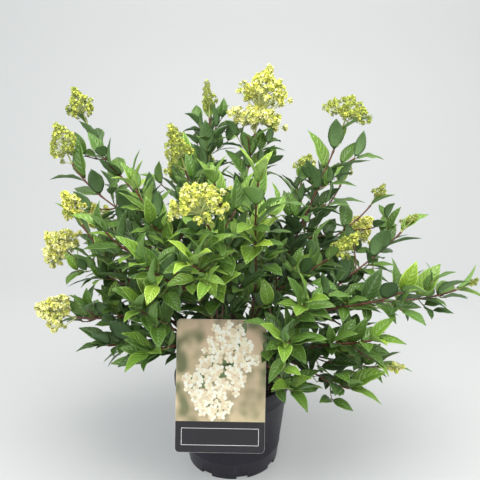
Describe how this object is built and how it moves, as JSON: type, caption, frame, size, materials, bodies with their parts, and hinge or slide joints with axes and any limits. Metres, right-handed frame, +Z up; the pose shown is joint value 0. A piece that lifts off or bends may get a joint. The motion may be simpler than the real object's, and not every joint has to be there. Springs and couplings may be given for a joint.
{
  "type": "potted hydrangea shrub",
  "caption": "Flowering hydrangea shrub with conical lemon-green blooms and toothed leaves on reddish stems, standing in a small black nursery pot with a picture card hooked on its rim.",
  "frame": {"origin": "centre of the pot's flat underside", "axes": "+Z up from the pot's underside, -Y towards the front where the card hangs, +X to the right of the front view"},
  "size_m": [0.7091, 0.5635, 0.631],
  "materials": {
    "pot": "satin",
    "compost": "matte",
    "bark": "matte",
    "foliage": "satin",
    "blossom": "matte",
    "card": "satin"
  },
  "bodies": {
    "root": {"bough_back_left_high": "bark", "bough_back_low_1": "bark", "bough_back_low_2": "bark", "bough_back_low_3": "bark", "bough_front_left_high": "bark", "bough_front_left_low": "bark", "bough_front_low": "bark", "bough_front_right_high": "bark", "bough_front_right_low": "bark", "bough_leader": "bark", "bough_left_high": "bark", "bough_left_low": "bark", "bough_right_high": "bark", "bough_right_low": "bark", "compost": "compost", "crown_stem": "bark", "mass_back_left_high_1": "foliage", "mass_back_left_high_2": "foliage", "mass_back_left_high_3": "foliage", "mass_back_low_1_1": "foliage", "mass_back_low_1_2": "foliage", "mass_back_low_1_3": "foliage", "mass_back_low_2_1": "foliage", "mass_back_low_2_2": "foliage", "mass_back_low_2_3": "foliage", "mass_back_low_3_1": "foliage", "mass_back_low_3_2": "foliage", "mass_back_low_3_3": "foliage", "mass_front_left_high_1": "foliage", "mass_front_left_high_2": "foliage", "mass_front_left_high_3": "foliage", "mass_front_left_low_1": "foliage", "mass_front_left_low_2": "foliage", "mass_front_left_low_3": "foliage", "mass_front_low_1": "foliage", "mass_front_low_2": "foliage", "mass_front_low_3": "foliage", "mass_front_right_high_1": "foliage", "mass_front_right_high_2": "foliage", "mass_front_right_low_1": "foliage", "mass_front_right_low_2": "foliage", "mass_front_right_low_3": "foliage", "mass_leader_1": "foliage", "mass_leader_2": "foliage", "mass_left_high_1": "foliage", "mass_left_high_2": "foliage", "mass_left_high_3": "foliage", "mass_left_low_1": "foliage", "mass_left_low_2": "foliage", "mass_left_low_3": "foliage", "mass_right_high_1": "foliage", "mass_right_high_2": "foliage", "mass_right_high_3": "foliage", "mass_right_low_1": "foliage", "mass_right_low_2": "foliage", "mass_right_low_3": "foliage", "picture_card": "card", "pot": "pot"}
  },
  "joints": []
}
